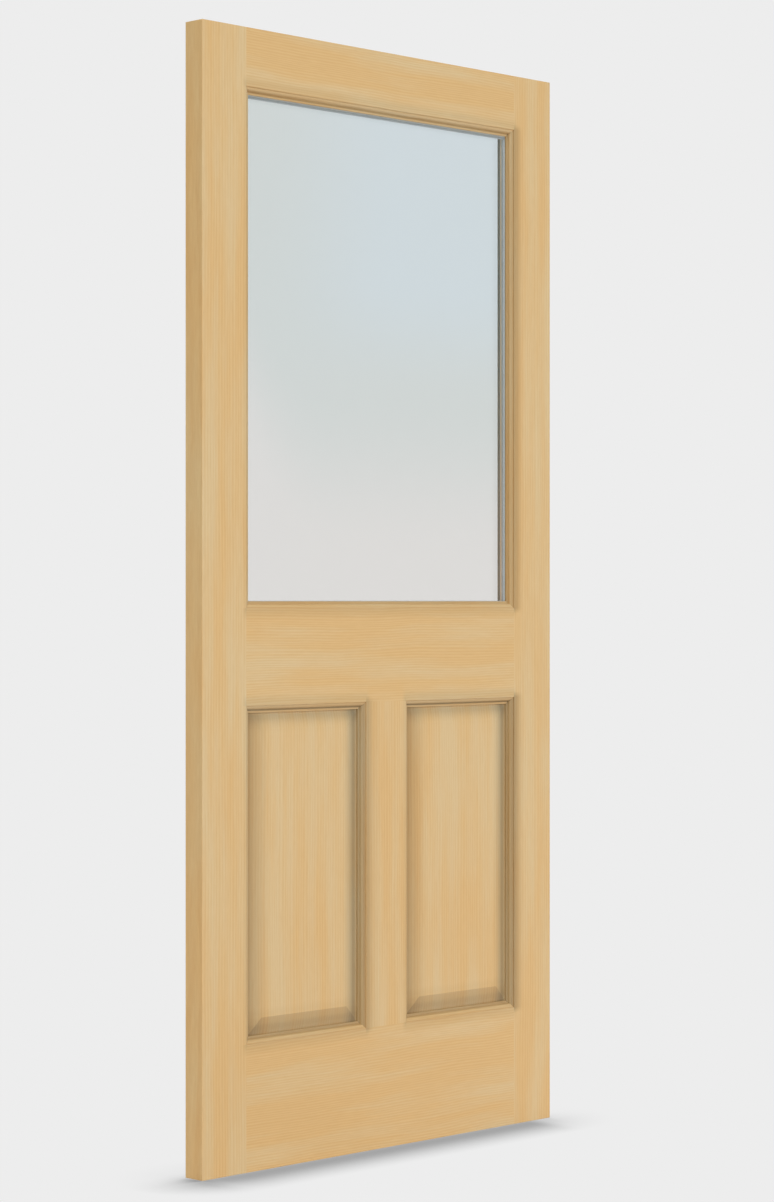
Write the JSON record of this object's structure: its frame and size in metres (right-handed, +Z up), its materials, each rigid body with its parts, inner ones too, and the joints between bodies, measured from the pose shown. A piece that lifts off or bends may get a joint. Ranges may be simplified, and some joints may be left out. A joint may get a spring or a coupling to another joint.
{
  "type": "glazed panel door leaf",
  "caption": "Wooden door leaf with stiles, rails and mullion around a large double-glazed light above two raised panels.",
  "frame": {"origin": "middle of the bottom edge, halfway through the thickness", "axes": "+X across the leaf from the hinge stile to the lock stile as seen from the front, +Y from the front face to the back face (beads are at the back), +Z up"},
  "size_m": [0.9144, 0.0444, 2.032],
  "materials": {
    "fir_wood": "clear satin",
    "dowel_wood": "raw",
    "clear_glass": "polished",
    "spacer_metal": "satin",
    "key_plastic": "matte",
    "desiccant": "matte",
    "sealant": "matte",
    "glazing_tape": "matte",
    "rubber_block": "matte",
    "brad_steel": "bright"
  },
  "bodies": {
    "root": {"hinge_stile": "fir_wood", "lock_stile": "fir_wood", "top_rail": "fir_wood", "lock_rail": "fir_wood", "bottom_rail": "fir_wood", "mullion": "fir_wood", "left_panel": "fir_wood", "right_panel": "fir_wood", "bead_top": "fir_wood", "bead_bottom": "fir_wood", "bead_left": "fir_wood", "bead_right": "fir_wood", "top_rail_dowels": "dowel_wood", "lock_rail_dowels": "dowel_wood", "bottom_rail_dowels": "dowel_wood", "mullion_dowels": "dowel_wood", "front_pane": "clear_glass", "rear_pane": "clear_glass", "spacer_top": "spacer_metal", "spacer_bottom": "spacer_metal", "spacer_left": "spacer_metal", "spacer_right": "spacer_metal", "spacer_corner_keys": "key_plastic", "desiccant_fill": "desiccant", "front_butyl_seal": "sealant", "rear_butyl_seal": "sealant", "edge_sealant": "sealant", "front_glazing_tape": "glazing_tape", "rear_glazing_tape": "glazing_tape", "setting_blocks": "rubber_block", "panel_spacers": "rubber_block", "bead_brads": "brad_steel"}
  },
  "joints": []
}
